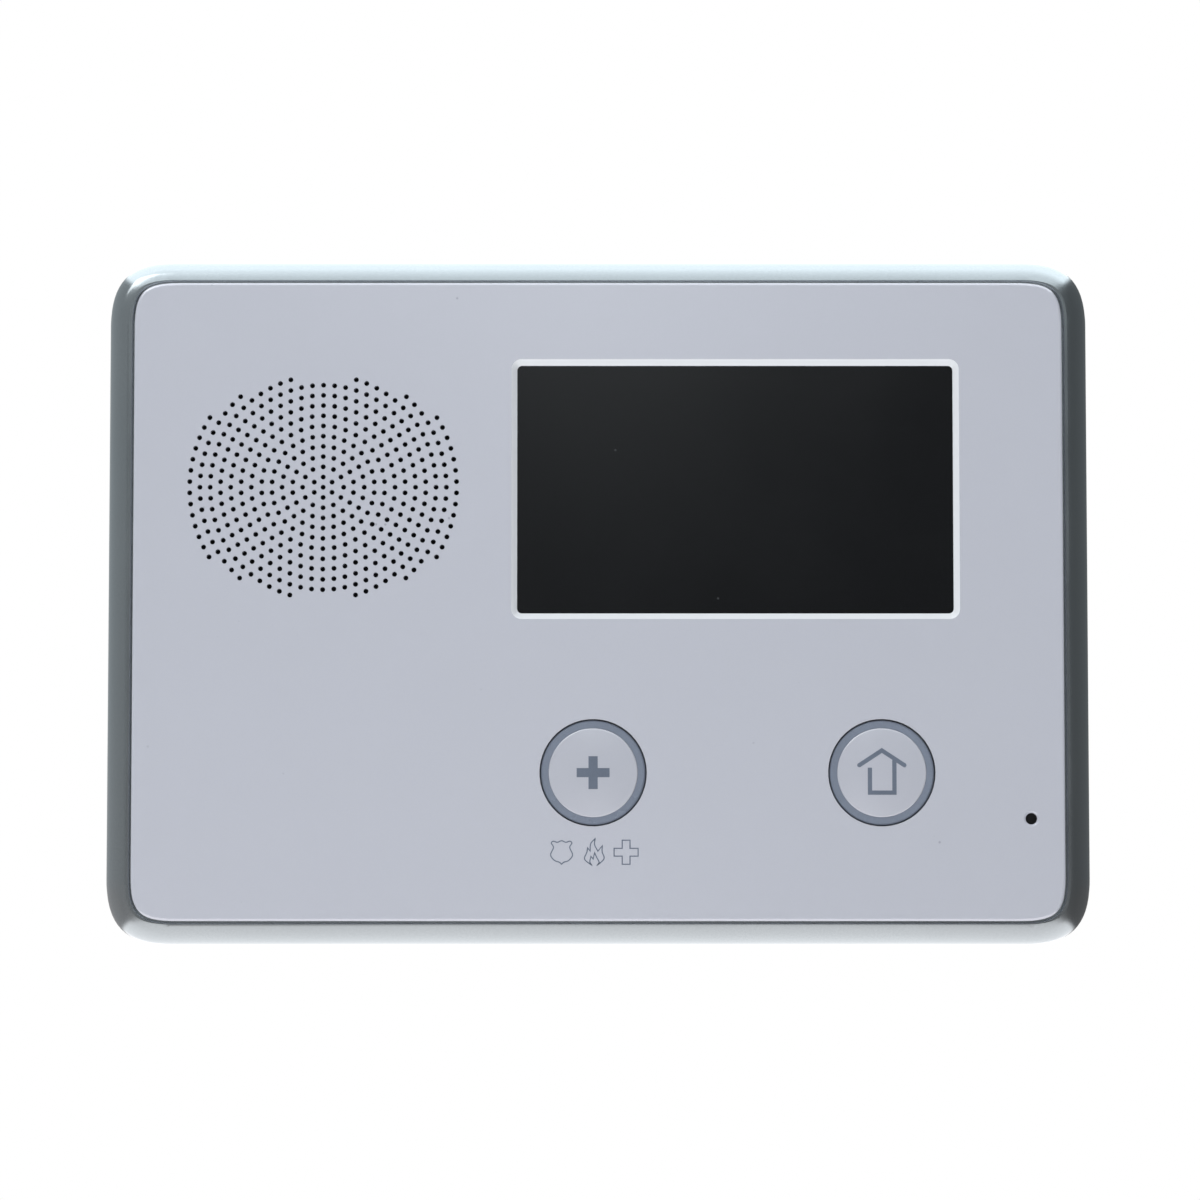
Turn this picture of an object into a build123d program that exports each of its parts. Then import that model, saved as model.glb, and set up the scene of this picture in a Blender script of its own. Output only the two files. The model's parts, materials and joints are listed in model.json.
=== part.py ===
"""Wall-mounted alarm keypad panel with touch screen, speaker grille and two push buttons.

Millimetres. The wall is the plane Y = 0, the face looks towards -Y and +Z is up. The origin is the middle
of the wall face. Every "depth" is a distance from the wall towards the face, so a depth d lies at Y = -d.
"""
from math import cos, radians, sin
import os

from build123d import *

# ---- overall -------------------------------------------------------------------------------------------
FACE_WIDTH = 187.0
FACE_HEIGHT = 128.5
FACE_DEPTH = 31.0             # front surface of the face
FACE_THICK = 2.2
FACE_BACK = FACE_DEPTH - FACE_THICK
FACE_CORNER = 9.0
FACE_SQUARENESS = 0.80
EDGE_ROUND = 0.5              # rounding of the face's front edge

BEZEL_WIDTH = 197.5
BEZEL_HEIGHT = 138.0
BEZEL_CORNER = 13.0
BEZEL_SQUARENESS = 0.70
BEZEL_BACK = 18.4
BEZEL_FRONT = 30.3
BEZEL_ROUND = 4.1             # rounding of the bezel's front edge
BEZEL_BACK_ROUND = 0.8
BEZEL_LIP_CHAMFER = 0.20      # on the edge beside the face
FACE_GAP = 0.35               # shadow gap round the face
LEDGE_WIDTH = 184.6
LEDGE_HEIGHT = 126.1

# ---- window, screen ------------------------------------------------------------------------------------
SCREEN = (27.6, 22.5)
BEVEL_SIZE = (90.1, 52.5, 2.0)       # width, height and corner radius at the front
GLASS_VIEW = (87.8, 50.1, 1.0)       # the same at the foot of the bevel
BEVEL_FOOT = 29.5
TOUCH_SIZE = (93.0, 55.0)
TOUCH_THICK = 1.2
GASKET_THICK = 0.2
GASKET_SETBACK = 0.3                 # of the gasket's opening from the glass that shows
TOUCH_BACK = BEVEL_FOOT - GASKET_THICK - TOUCH_THICK
LCD_SIZE = (93.8, 55.8)
LCD_FRAME_SIZE = (95.0, 57.0)
LCD_FRAME_BACK = 23.9
LCD_FRAME_WALL = 0.5
LCD_PANEL_BACK = 26.5
DISPLAY_GAP = 0.1                    # air between the display's layers
STANDOFF_SPAN = (84.0, 46.0)
STANDOFF_R = 2.5
RIBBON_DEPTH = 23.6                  # where the ribbon leaves, just behind the display
RIBBON_BEND = 1.6
RIBBON_WIDTH = 20.0
RIBBON_THICK = 0.25
POCKET_SIZE = (95.8, 57.8)
POCKET_RIB = 1.4

# ---- speaker grille ------------------------------------------------------------------------------------
SPEAKER = (-55.3, 22.8)
GRILLE_PITCH = 2.065
GRILLE_RINGS = 14
GRILLE_HALF_WIDTH = 14.4 * GRILLE_PITCH
GRILLE_HALF_HEIGHT = 10.82 * GRILLE_PITCH
GRILLE_HOLE_R = 0.5
SPEAKER_R = 28.0
SPEAKER_POST_R = 30.6                # distance of the clamping screws from the speaker's axis
FLANGE_BACK = 26.5
FLANGE_FRONT = 27.7
MAGNET_R = 15.0
MAGNET_BACK = 11.0
BASKET_BACK = 17.5
DUST_CAP_TOP = 23.3
DUST_CAP_R = 17.0
DUST_CAP_HALF = 8.0
DUST_CAP_RISE = 2.0
CONE_THICK = 0.4
CLOTH_THICK = 0.25
CLOTH_BORDER = 1.2
FRAME_SHEET = 1.0                    # sheet thickness of the speaker's frame
FRAME_WINDOW_SIZE = (5.5, 9.0)
SPEAKER_HEAD_R = 3.6

# ---- buttons -------------------------------------------------------------------------------------------
EMERGENCY = (-1.0, -34.6)
HOME = (56.8, -34.6)
CAP_R = 8.95
RING_R = 10.45
BUTTON_HOLE_R = 10.75
BUTTON_TRAVEL = 0.8
CAP_WALL = 1.3
CAP_HOLLOW = 1.9
CAP_EDGE_ROUND = 0.3
CAP_EDGE_DEPTH = 31.05
CAP_CROWN = 0.2
CAP_BACK = 27.4
RING_FRONT = 30.9
FLANGE_R = 12.2
RING_FLANGE_FRONT = 28.3
COLLAR_IN_R = 12.6
COLLAR_OUT_R = 13.9
COLLAR_BACK = 23.6
INLAY_DEPTH = 0.5
STEM_R = 1.7
STEM_BACK = 25.9
SWITCH_SIZE = 6.2
SWITCH_FRONT = 25.1
SWITCH_BORE_R = 1.85
PLUNGER_R = 1.75
PLUNGER_BACK = 24.1
SWITCH_BORE_BACK = PLUNGER_BACK - BUTTON_TRAVEL - 0.1
LED_SIZE = (2.0, 1.3, 0.7)
LED_RADIUS = 9.9

PLUS_SPAN = 6.6
PLUS_ARM = 1.85
HOUSE_LINE = 0.87

# ---- microphone ----------------------------------------------------------------------------------------
MICROPHONE = (86.7, -43.8)
MIC_HOLE_R = 1.15
MIC_CHAMFER = 0.4
MIC_R = 3.0
MIC_BACK = 25.4
MIC_THICK = 2.7
MIC_BOOT_R = 4.1
MIC_BOOT_BACK = 25.0

# ---- boards --------------------------------------------------------------------------------------------
MAIN_BOARD = (30.0, 3.0)             # middle of the main board
MAIN_BOARD_SIZE = (101.0, 110.0)
MAIN_BACK = 17.6
MAIN_FRONT = 19.2
MAIN_SCREW_SPAN = (93.0, 102.8)
KEYPAD_BOARD = (27.9, -34.6)
KEYPAD_BOARD_SIZE = (86.0, 22.0)
KEYPAD_BACK = 21.6
KEYPAD_FRONT = 22.8
KEYPAD_SCREW_SPAN = (20.8, 16.2)
BOARD_POST_R = 2.2
SMALL_SCREW_R = 1.0
SMALL_HEAD_R = 1.9
SMALL_HEAD_HIGH = 1.5
SMALL_SCREW_LONG = 5.0
SCREW_CLEARANCE = 0.05
BOARD_HOLE_CLEARANCE = 0.15
CHIPS = [((-6, 36), (14, 14)), ((14, 40), (9, 12)), ((-6, 14), (7, 5)), ((60, -8), (6, 5))]
CHIP_THICK = 1.4
CAPACITORS = [(44, -18), (44, -28), (48, -38)]
CAPACITOR_R = 3.15
CAPACITOR_LONG = 8.0

# ---- battery -------------------------------------------------------------------------------------------
BATTERY = (-57.2, -24.6)
CELL_R = 7.15
CELL_LONG = 49.5
CELL_PITCH = 14.45
CELL_COUNT = 4
BATTERY_DEPTH = 15.3                 # depth of the cells' axes
WRAP_THICK = 0.25
WRAP_GAP = 0.1
WRAP_END = 0.4                       # how far the wrap reaches past the cells
BAY_SIZE = (61.2, 54.0)
BAY_WALL = 1.0
STRAP_WIDTH = 12.0
STRAP_THICK = 1.2
LEAD_R = 0.65
CONNECTOR_SIZE = (7.5, 6.0)
CONNECTOR_X = -16.5

# ---- rear cover ----------------------------------------------------------------------------------------
REAR_END = 1.0                       # the skirt's edge, nearly at the wall
REAR_END_SIZE = (183.0, 124.0, 11.0)
REAR_RIM_SIZE = (191.4, 131.8, 12.6)
REAR_SQUARENESS = 0.70
REAR_EDGE_ROUND = 0.5
WALL_THICK = 2.0
BACK_WALL = 4.2                      # outside of the back wall, which the skirt stands behind
BACK_WALL_IN = BACK_WALL + WALL_THICK
LIP_SIZE = (184.0, 125.5)
LIP_THICK = 1.2
LIP_FRONT = 21.0
TOP_SKIRT_END = 3.0                  # the skirt is shorter along the top, so it clears the wall as it swings
CASE_SCREWS = [(-84.5, 54.5), (84.5, 54.5), (-84.5, -54.5), (84.5, -54.5), (-24.3, 56.5), (-24.3, -56.5)]
CASE_BOSS_R = 3.4
CASE_BOSS_BACK = 9.2
CASE_WELL_R = 4.6
CASE_HEAD_SEAT = 7.0
CASE_HEAD_R = 2.75
CASE_HEAD_BACK = 4.9
CASE_SCREW_R = 1.5
CASE_SCREW_FRONT = 17.5
CROSS_SLOT = (3.4, 0.7)              # length and width of a cross recess's bars
TERMINAL_WINDOW = (15.0, -24.0)
TERMINAL_WINDOW_SIZE = (44.0, 30.0)
WINDOW_RIM = 1.5
WINDOW_RIM_HIGH = 3.0
VENT_SLOTS = 13
VENT_PITCH = 5.0
VENT_WIDTH = 2.0
VENT_START = 9.0
VENT_LONG = 6.5

# ---- wall plate and hinge ------------------------------------------------------------------------------
PLATE_SIZE = (168.0, 113.4)
PLATE_MID = 0.7
PLATE_THICK = 2.4
PLATE_CORNER = 6.0
PLATE_RIB = 1.0
PLATE_RIB_WIDTH = 1.5
PLATE_CHAMFER = 0.4
HOLLOW_DEEP = 0.8                    # hollows in the wall side that keep the plate from rocking
HOLLOW_CORNER = 2.0
HOLLOW_ROWS = (17.0, 21.0)           # height and pitch of the hollows beside the cable entry
WALL_SCREW_SPAN = (120.0, 83.3)
WALL_SCREW_R = 2.2
WALL_HEAD_R = 4.4
WALL_HEAD_SINK = 1.0
CABLE_ENTRY = (15.0, -24.0)
CABLE_ENTRY_SIZE = (60.0, 40.0)
ENTRY_LIP = 2.0
ENTRY_CORNER = 3.0
HINGE_X = 50.0
PIN_Z = 56.5
PIN_DEPTH = 5.0
PIN_R = 1.5
PIN_LONG = 24.0
PIN_CHAMFER = 0.25
HOOK_WIDTH = 10.0
HOOK_ARM = 1.6
HOOK_HIGH = 4.6
HOOK_DROP = 1.1                      # of the hook's middle below the pin
HOOK_ROOT = 0.4                      # how far the hook reaches into the plate
HOOK_SLOT_R = PIN_R + 0.05
HOOK_ROOM = 2.0                      # clear space beside each hook
HINGE_BLOCK_Z = 56.6
HINGE_BLOCK_SIZE = (PIN_LONG + 4, 10.0)
HINGE_BLOCK_DEEP = 5.2
HINGE_SLOT_Z = 55.4
HINGE_SLOT_HIGH = 9.6
LOCK_DEPTH = 5.2
LOCK_SEAT_Z = -61.7
LOCK_HEAD_R = 2.8
LOCK_HEAD_HIGH = 1.2
LOCK_SHANK_R = 1.45
LOCK_SHANK_LONG = 4.5
LOCK_HOLE_R = 1.7
TAB_WIDTH = 10.0
TAB_HIGH = 5.0
TAB_HOLE_R = 1.6
TAB_FRONT = 8.0

# ---- tamper switch, terminals, radio -------------------------------------------------------------------
TAMPER = (62.0, -42.0)
TAMPER_BODY = (8.0, 8.0, 0.5)
TAMPER_BACK = 10.4
TAMPER_BORE_DEEP = 5.2
TAMPER_PLUNGER_R = 1.5
TAMPER_PLUNGER_GRIP = 2.6            # length of plunger inside the switch
TAMPER_TIP = 2.9
TERMINAL_BLOCK_SIZE = (26.0, 11.0)
TERMINAL_BACK = 8.2
TERMINAL_POLES = 5
TERMINAL_PITCH = 5.0
TERMINAL_WELL_R = 1.9
TERMINAL_WELL_DEEP = 6.0
TERMINAL_MOUTH = (3.4, 3.0)          # width and depth of a wire entry
RADIO = (52.0, 30.0)
RADIO_SIZE = (38.0, 30.0)
RADIO_BACK = 14.2
RADIO_FRONT = 15.2
SHIELD_HIGH = 2.6
ANTENNA = (22.0, 46.0)
ANTENNA_SIZE = (44.0, 9.0, 0.4)
ANTENNA_LEAD_R = 0.6


# ---- helpers -------------------------------------------------------------------------------------------
def at_depth(depth):
    """Plane parallel to the wall: local x is X, local y is Z, and its normal points to the front."""
    return Plane.XZ.offset(depth)


def side_plane(x):
    """Plane square to X: local x is Z and local y is the depth."""
    return Plane(origin=(x, 0, 0), x_dir=(0, 0, 1), z_dir=(1, 0, 0))


def lathe_plane(centre):
    """Plane through a turning axis that runs from the wall to the front: local (radius, depth)."""
    return Plane(origin=(centre[0], 0, centre[1]), x_dir=(1, 0, 0), z_dir=(0, 0, -1))


def lathe_axis(centre):
    """The turning axis that goes with lathe_plane."""
    return Axis((centre[0], 0, centre[1]), (0, -1, 0))


def soft_rectangle(width, height, corner, squareness):
    """Rectangle whose corners are cubic curves that start `corner` before each corner point.

    A squareness of 0.55 gives round corners, and more brings the curve nearer to the corner point.
    """
    right = width / 2
    top = height / 2
    handle = corner * (1 - squareness)
    with BuildSketch() as outline:
        with BuildLine():
            for sx, sz in ((1, 1), (-1, 1), (-1, -1), (1, -1)):
                ends = [
                    (sx * right, sz * (top - corner)),
                    (sx * right, sz * (top - handle)),
                    (sx * (right - handle), sz * top),
                    (sx * (right - corner), sz * top),
                ]
                Bezier(*ends)
            for side in (1, -1):
                Line((side * right, corner - top), (side * right, top - corner))
                Line((corner - right, side * top), (right - corner, side * top))
        make_face()
    return outline.sketch


def grille_points():
    """Hole places on evenly spaced rings inside an oval, first hole of each ring straight up."""
    points = [(0.0, 0.0)]
    for ring in range(1, GRILLE_RINGS):
        count = 6 * ring - 2 * (ring // 6)
        for number in range(count):
            angle = radians(90 + 360 * number / count)
            x = ring * GRILLE_PITCH * cos(angle)
            z = ring * GRILLE_PITCH * sin(angle)
            if (x / GRILLE_HALF_WIDTH) ** 2 + (z / GRILLE_HALF_HEIGHT) ** 2 <= 1:
                points.append((x, z))
    return points


def write_part(piece, name):
    """Label a finished piece and write it to its own file."""
    piece.part.label = name
    export_step(piece.part, f"parts/{name}.step")


os.makedirs("parts", exist_ok=True)
face_outline = soft_rectangle(FACE_WIDTH, FACE_HEIGHT, FACE_CORNER, FACE_SQUARENESS)
face_opening = soft_rectangle(
    FACE_WIDTH + 2 * FACE_GAP, FACE_HEIGHT + 2 * FACE_GAP, FACE_CORNER + FACE_GAP, FACE_SQUARENESS
)
bezel_outline = soft_rectangle(BEZEL_WIDTH, BEZEL_HEIGHT, BEZEL_CORNER, BEZEL_SQUARENESS)
ledge_outline = soft_rectangle(LEDGE_WIDTH, LEDGE_HEIGHT, FACE_CORNER, FACE_SQUARENESS)
rear_end_outline = soft_rectangle(*REAR_END_SIZE, REAR_SQUARENESS)
rear_rim_outline = soft_rectangle(*REAR_RIM_SIZE, REAR_SQUARENESS)
speaker_posts = PolarLocations(SPEAKER_POST_R, 4, start_angle=45).local_locations


# ---- wall plate: screwed to the wall, carries the console on two hooks -----------------------------------
plate_bottom = PLATE_MID - PLATE_SIZE[1] / 2
tab_middle = plate_bottom + TAB_HIGH / 2
with BuildPart() as wall_plate:
    with BuildSketch(at_depth(0)):
        with Locations((0, PLATE_MID)):
            RectangleRounded(*PLATE_SIZE, PLATE_CORNER)
    extrude(amount=PLATE_THICK)
    chamfer(wall_plate.faces().sort_by(Axis.Y)[-1].edges(), PLATE_CHAMFER)
    # stiffening rib along the sides and the bottom, and a lip round the cable entry
    with BuildSketch(at_depth(PLATE_THICK)):
        with Locations((0, PLATE_MID)):
            RectangleRounded(*PLATE_SIZE, PLATE_CORNER)
            RectangleRounded(
                PLATE_SIZE[0] - 2 * PLATE_RIB_WIDTH,
                PLATE_SIZE[1] - 2 * PLATE_RIB_WIDTH,
                PLATE_CORNER - PLATE_RIB_WIDTH,
                mode=Mode.SUBTRACT,
            )
        with Locations((0, PLATE_SIZE[1] / 2)):
            Rectangle(PLATE_SIZE[0], 40, mode=Mode.SUBTRACT)
        with Locations(CABLE_ENTRY):
            entry_width, entry_height = (side + 2 * ENTRY_LIP for side in CABLE_ENTRY_SIZE)
            RectangleRounded(entry_width, entry_height, ENTRY_CORNER + ENTRY_LIP)
    extrude(amount=PLATE_RIB)
    # J-shaped hooks, open upwards, that the console's pins drop into
    hook_front = PIN_DEPTH + HOOK_SLOT_R + HOOK_ARM
    for side in (-1, 1):
        with BuildSketch(side_plane(side * HINGE_X - HOOK_WIDTH / 2)):
            with Locations((PIN_Z - HOOK_DROP, (PLATE_THICK + hook_front - HOOK_ROOT) / 2)):
                RectangleRounded(HOOK_HIGH, hook_front - PLATE_THICK + HOOK_ROOT, 0.6)
            with Locations((PIN_Z, PIN_DEPTH)):
                Circle(HOOK_SLOT_R, mode=Mode.SUBTRACT)
            with Locations((PIN_Z + 2, PIN_DEPTH)):
                Rectangle(4, 2 * HOOK_SLOT_R, mode=Mode.SUBTRACT)
        extrude(amount=HOOK_WIDTH)
    # tab at the bottom that the locking screw is driven into
    with BuildSketch(at_depth(PLATE_THICK)):
        with Locations((0, tab_middle)):
            Rectangle(TAB_WIDTH, TAB_HIGH)
    extrude(amount=TAB_FRONT - PLATE_THICK)
    with Locations(Location((0, -LOCK_DEPTH, tab_middle))):
        Cylinder(TAB_HOLE_R, TAB_HIGH + 1, mode=Mode.SUBTRACT)
    # cable entry, wall screws and the shallow hollows in the wall side
    with BuildSketch(at_depth(0)):
        with Locations(CABLE_ENTRY):
            RectangleRounded(*CABLE_ENTRY_SIZE, ENTRY_CORNER)
    extrude(amount=PLATE_THICK + PLATE_RIB, mode=Mode.SUBTRACT)
    with Locations(at_depth(PLATE_THICK)):
        with GridLocations(*WALL_SCREW_SPAN, 2, 2):
            CounterBoreHole(WALL_SCREW_R, WALL_HEAD_R, WALL_HEAD_SINK)
    with BuildSketch(at_depth(0)):
        for middle, width in ((-50, 58), (66, 26)):
            with Locations((middle, PLATE_MID)):
                with GridLocations(0, HOLLOW_ROWS[1], 1, 3):
                    RectangleRounded(width, HOLLOW_ROWS[0], HOLLOW_CORNER)
        with Locations((CABLE_ENTRY[0], 32)):
            RectangleRounded(CABLE_ENTRY_SIZE[0], 20, HOLLOW_CORNER)
    extrude(amount=HOLLOW_DEEP, mode=Mode.SUBTRACT)
write_part(wall_plate, "wall_plate")


# ---- rear cover: tapered shell with a recess at the back that the wall plate sits in ------------------------
def shell_size(depth, inset):
    """Outline of the rear shell at a depth, drawn in by an inset."""
    part = (depth - REAR_END) / (BEZEL_BACK - REAR_END)
    width, height, corner = (end + part * (rim - end) for end, rim in zip(REAR_END_SIZE, REAR_RIM_SIZE))
    return soft_rectangle(width - 2 * inset, height - 2 * inset, corner - inset, REAR_SQUARENESS)


with BuildPart() as rear_cover:
    with BuildSketch(at_depth(REAR_END)):
        add(rear_end_outline)
    with BuildSketch(at_depth(BEZEL_BACK)):
        add(rear_rim_outline)
    loft(ruled=True)
    fillet(rear_cover.faces().sort_by(Axis.Y)[-1].edges(), REAR_EDGE_ROUND)
    with BuildSketch(at_depth(BACK_WALL_IN)):
        add(shell_size(BACK_WALL_IN, WALL_THICK))
    with BuildSketch(at_depth(BEZEL_BACK)):
        add(shell_size(BEZEL_BACK, WALL_THICK))
    loft(ruled=True, mode=Mode.SUBTRACT)
    with BuildSketch(at_depth(REAR_END)):
        add(shell_size(REAR_END, WALL_THICK))
    extrude(amount=BACK_WALL - REAR_END, mode=Mode.SUBTRACT)
    # tongue that centres the bezel
    with BuildSketch(at_depth(BEZEL_BACK - 2)):
        add(soft_rectangle(*LIP_SIZE, FACE_CORNER, FACE_SQUARENESS))
        add(soft_rectangle(LIP_SIZE[0] - 2 * LIP_THICK, LIP_SIZE[1] - 2 * LIP_THICK, FACE_CORNER - LIP_THICK,
                           FACE_SQUARENESS), mode=Mode.SUBTRACT)
    extrude(amount=LIP_FRONT - BEZEL_BACK + 2)
    with BuildSketch(at_depth(BEZEL_BACK - 2)):
        add(shell_size(BEZEL_BACK - 2, WALL_THICK / 2))
        add(soft_rectangle(LIP_SIZE[0] - 2 * LIP_THICK, LIP_SIZE[1] - 2 * LIP_THICK, FACE_CORNER - LIP_THICK,
                           FACE_SQUARENESS), mode=Mode.SUBTRACT)
    extrude(amount=2)
    # wells for the case screws
    with BuildSketch(at_depth(BACK_WALL)):
        with Locations(*CASE_SCREWS):
            Circle(CASE_WELL_R)
    extrude(amount=CASE_BOSS_BACK - BACK_WALL)
    with BuildSketch(at_depth(BACK_WALL)):
        with Locations(*CASE_SCREWS):
            Circle(CASE_HEAD_R + 0.3)
    extrude(amount=CASE_HEAD_SEAT - BACK_WALL, mode=Mode.SUBTRACT)
    with BuildSketch(at_depth(BACK_WALL)):
        with Locations(*CASE_SCREWS):
            Circle(CASE_SCREW_R + 0.2)
    extrude(amount=CASE_BOSS_BACK - BACK_WALL, mode=Mode.SUBTRACT)
    # hinge blocks with a slot for each hook, and the bore that holds the pin
    for side in (-1, 1):
        with BuildSketch(at_depth(BACK_WALL)):
            with Locations((side * HINGE_X, HINGE_BLOCK_Z)):
                Rectangle(*HINGE_BLOCK_SIZE)
        extrude(amount=HINGE_BLOCK_DEEP)
        with BuildSketch(at_depth(REAR_END)):
            with Locations((side * HINGE_X, HINGE_SLOT_Z)):
                Rectangle(HOOK_WIDTH + 2 * HOOK_ROOM, HINGE_SLOT_HIGH)
        extrude(amount=BACK_WALL + HINGE_BLOCK_DEEP, mode=Mode.SUBTRACT)
        with Locations(Location((side * HINGE_X, -PIN_DEPTH, PIN_Z), (0, 90, 0))):
            Cylinder(PIN_R, PIN_LONG, mode=Mode.SUBTRACT)
    # battery bay, terminal window, window for the locking tab, tamper hole
    with BuildSketch(at_depth(BACK_WALL_IN)):
        with Locations(BATTERY):
            Rectangle(*BAY_SIZE)
            Rectangle(BAY_SIZE[0] - 2 * BAY_WALL, BAY_SIZE[1] - 2 * BAY_WALL, mode=Mode.SUBTRACT)
        with Locations(TERMINAL_WINDOW):
            Rectangle(TERMINAL_WINDOW_SIZE[0] + 2 * WINDOW_RIM, TERMINAL_WINDOW_SIZE[1] + 2 * WINDOW_RIM)
            Rectangle(*TERMINAL_WINDOW_SIZE, mode=Mode.SUBTRACT)
    extrude(amount=WINDOW_RIM_HIGH)
    with BuildSketch(at_depth(BACK_WALL)):
        with Locations(TERMINAL_WINDOW):
            Rectangle(*TERMINAL_WINDOW_SIZE)
        with Locations((0, plate_bottom + 2)):
            Rectangle(TAB_WIDTH + 8, 9)
        with Locations(TAMPER):
            Circle(TAMPER_PLUNGER_R + 0.35)
    extrude(amount=WALL_THICK + 0.1, mode=Mode.SUBTRACT)
    # locking screw's hole through the bottom wall, with a seat for its head
    with BuildSketch(Plane.XY.offset(LOCK_SEAT_Z)):
        with Locations((0, -LOCK_DEPTH)):
            Circle(LOCK_HOLE_R)
    extrude(amount=5, mode=Mode.SUBTRACT)
    with BuildSketch(Plane.XY.offset(LOCK_SEAT_Z)):
        with Locations((0, -LOCK_DEPTH)):
            Circle(LOCK_HEAD_R + 0.3)
    extrude(amount=-4, mode=Mode.SUBTRACT)
    # vents through the top and bottom walls
    with BuildSketch(at_depth(VENT_START)):
        with GridLocations(VENT_PITCH, REAR_END_SIZE[1] + 1, VENT_SLOTS, 2):
            Rectangle(VENT_WIDTH, 9)
    extrude(amount=VENT_LONG, mode=Mode.SUBTRACT)
    # shorter skirt along the top
    with BuildSketch(at_depth(REAR_END)):
        with Locations((0, 61)):
            Rectangle(REAR_RIM_SIZE[0], 8)
    extrude(amount=TOP_SKIRT_END - REAR_END, mode=Mode.SUBTRACT)
write_part(rear_cover, "rear_cover")

with BuildPart() as hinge_pins:
    with Locations(*[Location((side * HINGE_X, -PIN_DEPTH, PIN_Z), (0, 90, 0)) for side in (-1, 1)]):
        Cylinder(PIN_R, PIN_LONG)
    chamfer(hinge_pins.edges().filter_by(GeomType.CIRCLE), PIN_CHAMFER)
write_part(hinge_pins, "hinge_pins")

with BuildPart() as locking_screw:
    with BuildSketch(Plane.XY.offset(LOCK_SEAT_Z - LOCK_HEAD_HIGH)):
        with Locations((0, -LOCK_DEPTH)):
            Circle(LOCK_HEAD_R)
    extrude(amount=LOCK_HEAD_HIGH)
    fillet(locking_screw.faces().sort_by(Axis.Z)[0].edges(), 0.3)
    with BuildSketch(Plane.XY.offset(LOCK_SEAT_Z)):
        with Locations((0, -LOCK_DEPTH)):
            Circle(LOCK_SHANK_R)
    extrude(amount=LOCK_SHANK_LONG)
    with BuildSketch(Plane.XY.offset(LOCK_SEAT_Z - LOCK_HEAD_HIGH)):
        with Locations((0, -LOCK_DEPTH)):
            Rectangle(CROSS_SLOT[1], CROSS_SLOT[0])
            Rectangle(*CROSS_SLOT)
    extrude(amount=0.7, mode=Mode.SUBTRACT)
write_part(locking_screw, "locking_screw")


# ---- bezel: ring with a rounded front edge round the face ------------------------------------------------
with BuildPart() as bezel_frame:
    with BuildSketch(at_depth(BEZEL_BACK)):
        add(bezel_outline)
    extrude(amount=BEZEL_FRONT - BEZEL_BACK)
    fillet(bezel_frame.faces().sort_by(Axis.Y)[0].edges(), BEZEL_ROUND)
    fillet(bezel_frame.faces().sort_by(Axis.Y)[-1].edges(), BEZEL_BACK_ROUND)
    # seat for the face's edge, and the narrower opening behind it
    with BuildSketch(at_depth(BEZEL_BACK)):
        add(ledge_outline)
    extrude(amount=BEZEL_FRONT - BEZEL_BACK, mode=Mode.SUBTRACT)
    with BuildSketch(at_depth(FACE_BACK)):
        add(face_opening)
    extrude(amount=BEZEL_FRONT - FACE_BACK, mode=Mode.SUBTRACT)
    chamfer(bezel_frame.faces().sort_by(Axis.Y)[0].inner_wires()[0].edges(), BEZEL_LIP_CHAMFER)
write_part(bezel_frame, "bezel_frame")


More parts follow.
